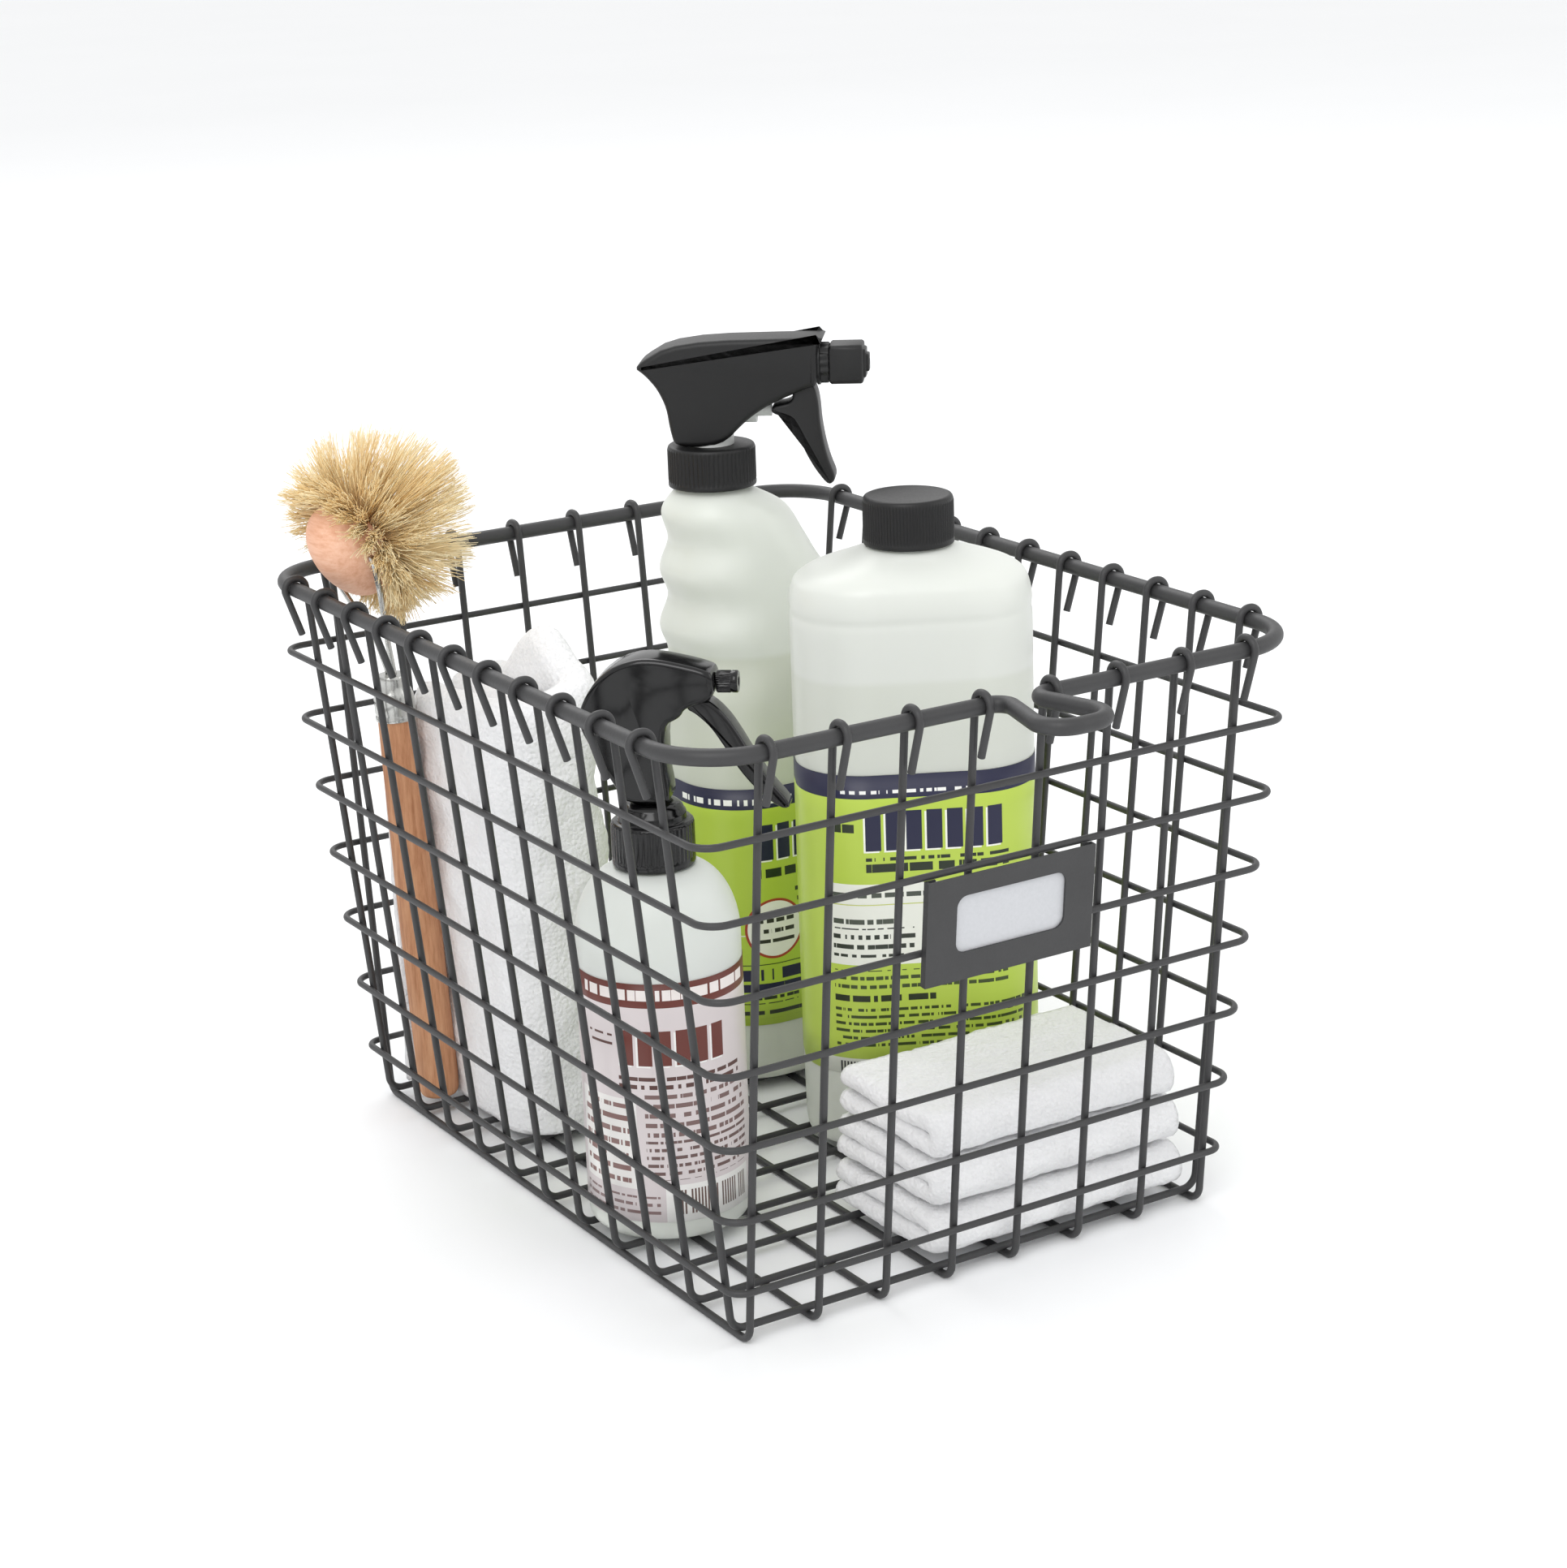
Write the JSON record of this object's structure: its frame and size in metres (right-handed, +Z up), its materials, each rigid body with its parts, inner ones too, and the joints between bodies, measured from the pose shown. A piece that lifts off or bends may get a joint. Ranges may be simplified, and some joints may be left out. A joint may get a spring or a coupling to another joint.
{
  "type": "cleaning caddy",
  "caption": "Wire basket with a hooked-wire mesh, a heavy rim with a handle loop and a label holder, carrying trigger bottles, a refill bottle, a dish brush, a towel and folded cloths.",
  "frame": {"origin": "centre of the basket's underside, on the surface it stands on", "axes": "+Z up, -Y out of the front that carries the handle loop and the label holder, +X to the right seen from the front"},
  "size_m": [0.249, 0.3583, 0.2899],
  "materials": {
    "mesh_wire": "dark grey powder coat, fine texture",
    "holder_sheet": "dark grey powder coat, fine texture",
    "card": "pale grey card",
    "milky_hdpe": "milky translucent polyethylene",
    "cleaner": "cloudy water-based cleaner",
    "freshener": "clear water-based freshener",
    "green_label": "printed film label, lime green with a navy band",
    "mauve_label": "printed film label, pale mauve with a brown band",
    "black_pp": "black moulded polypropylene, satin",
    "gloss_black_pp": "black moulded polypropylene, glossy",
    "natural_pp": "natural translucent polypropylene",
    "beech": "plain beech, unvarnished",
    "tinned_steel": "bright tinned steel",
    "tampico": "golden tampico fibre",
    "terry": "white cotton terry"
  },
  "bodies": {
    "basket": {"rim_wire": "mesh_wire", "cross_wire_01": "mesh_wire", "cross_wire_02": "mesh_wire", "cross_wire_03": "mesh_wire", "cross_wire_04": "mesh_wire", "cross_wire_05": "mesh_wire", "cross_wire_06": "mesh_wire", "cross_wire_07": "mesh_wire", "cross_wire_08": "mesh_wire", "cross_wire_09": "mesh_wire", "cross_wire_10": "mesh_wire", "cross_wire_11": "mesh_wire", "long_wire_01": "mesh_wire", "long_wire_02": "mesh_wire", "long_wire_03": "mesh_wire", "long_wire_04": "mesh_wire", "long_wire_05": "mesh_wire", "long_wire_06": "mesh_wire", "long_wire_07": "mesh_wire", "long_wire_08": "mesh_wire", "hoop_wire_1": "mesh_wire", "hoop_wire_2": "mesh_wire", "hoop_wire_3": "mesh_wire", "hoop_wire_4": "mesh_wire", "hoop_wire_5": "mesh_wire", "hoop_wire_6": "mesh_wire", "hoop_wire_7": "mesh_wire", "label_holder": "holder_sheet"},
    "label_card": {"label_card": "card"},
    "tall_bottle": {"tall_bottle": "milky_hdpe", "tall_liquid": "cleaner", "tall_label": "green_label"},
    "tall_spray_head": {"tall_collar": "black_pp", "tall_pump_body": "natural_pp", "tall_shroud": "black_pp", "tall_dip_tube": "natural_pp"},
    "tall_trigger": {"tall_trigger": "black_pp"},
    "tall_piston": {"tall_piston": "natural_pp"},
    "tall_nozzle": {"tall_nozzle": "black_pp"},
    "refill_bottle": {"refill_bottle": "milky_hdpe", "refill_liquid": "cleaner", "refill_label": "green_label"},
    "refill_cap": {"refill_cap": "black_pp"},
    "small_bottle": {"small_bottle": "milky_hdpe", "small_liquid": "freshener", "small_label": "mauve_label"},
    "small_spray_head": {"small_collar": "gloss_black_pp", "small_head": "gloss_black_pp", "small_dip_tube": "natural_pp"},
    "small_trigger": {"small_trigger": "gloss_black_pp"},
    "small_nozzle": {"small_nozzle": "gloss_black_pp"},
    "towel": {"towel": "terry"},
    "dish_brush": {"brush_handle": "beech", "brush_ferrule": "tinned_steel", "brush_wire_neck": "tinned_steel"},
    "brush_head": {"brush_block": "beech", "brush_bristles": "tampico"},
    "cloth_1": {"cloth_1": "terry"},
    "cloth_2": {"cloth_2": "terry"},
    "cloth_3": {"cloth_3": "terry"}
  },
  "joints": [
    {"name": "card_slide", "type": "slide", "parent": "basket", "child": "label_card", "axis": [0, -0.0962, 0.9954], "range_m": [0, 0.038]},
    {"name": "tall_bottle_lift", "type": "slide", "parent": "basket", "child": "tall_bottle", "axis": [0, 0, 1], "range_m": [0, 0.22]},
    {"name": "tall_head_off", "type": "slide", "parent": "tall_bottle", "child": "tall_spray_head", "axis": [0, 0, 1], "range_m": [0, 0.25]},
    {"name": "tall_trigger_pull", "type": "hinge", "parent": "tall_spray_head", "child": "tall_trigger", "pos_m": [0.05435, 0.05024, 0.27269], "axis": [0.6018, 0.7986, 0], "range_deg": [0, 18], "stiffness_Nm_per_rad": 0.4, "springref_deg": -5.73},
    {"name": "tall_piston_stroke", "type": "slide", "parent": "tall_spray_head", "child": "tall_piston", "axis": [-0.7986, 0.6018, 0], "range_m": [0, 0.0042]},
    {"name": "tall_nozzle_twist", "type": "hinge", "parent": "tall_spray_head", "child": "tall_nozzle", "pos_m": [0.06673, 0.04092, 0.27929], "axis": [0.7986, -0.6018, 0], "range_deg": [0, 90]},
    {"name": "refill_bottle_lift", "type": "slide", "parent": "basket", "child": "refill_bottle", "axis": [0, 0, 1], "range_m": [0, 0.22]},
    {"name": "refill_cap_off", "type": "slide", "parent": "refill_bottle", "child": "refill_cap", "axis": [0, 0, 1], "range_m": [0, 0.05]},
    {"name": "small_bottle_lift", "type": "slide", "parent": "basket", "child": "small_bottle", "axis": [0, 0, 1], "range_m": [0, 0.22]},
    {"name": "small_head_off", "type": "slide", "parent": "small_bottle", "child": "small_spray_head", "axis": [0, 0, 1], "range_m": [0, 0.15]},
    {"name": "small_trigger_pull", "type": "hinge", "parent": "small_spray_head", "child": "small_trigger", "pos_m": [-0.05217, -0.04718, 0.19059], "axis": [0.6428, 0.766, 0], "range_deg": [0, 16], "stiffness_Nm_per_rad": 0.3, "springref_deg": -5.73},
    {"name": "small_nozzle_twist", "type": "hinge", "parent": "small_spray_head", "child": "small_nozzle", "pos_m": [-0.04405, -0.054, 0.19799], "axis": [0.766, -0.6428, 0], "range_deg": [0, 90]},
    {"name": "towel_lift", "type": "slide", "parent": "basket", "child": "towel", "axis": [0, 0, 1], "range_m": [0, 0.22]},
    {"name": "dish_brush_lift", "type": "slide", "parent": "towel", "child": "dish_brush", "axis": [0, 0, 1], "range_m": [0, 0.22]},
    {"name": "brush_head_tilt", "type": "hinge", "parent": "dish_brush", "child": "brush_head", "pos_m": [-0.10317, 0.11267, 0.2217], "axis": [0, 0.9997, -0.0262], "range_deg": [-20, 0]},
    {"name": "cloth_1_lift", "type": "slide", "parent": "basket", "child": "cloth_1", "axis": [0, 0, 1], "range_m": [0, 0.22]},
    {"name": "cloth_2_lift", "type": "slide", "parent": "cloth_1", "child": "cloth_2", "axis": [0, 0, 1], "range_m": [0, 0.22]},
    {"name": "cloth_3_lift", "type": "slide", "parent": "cloth_2", "child": "cloth_3", "axis": [0, 0, 1], "range_m": [0, 0.22]}
  ],
  "couplings": [
    {"joint": "tall_piston_stroke", "follows": "tall_trigger_pull", "m_per_rad": 0.013356}
  ]
}
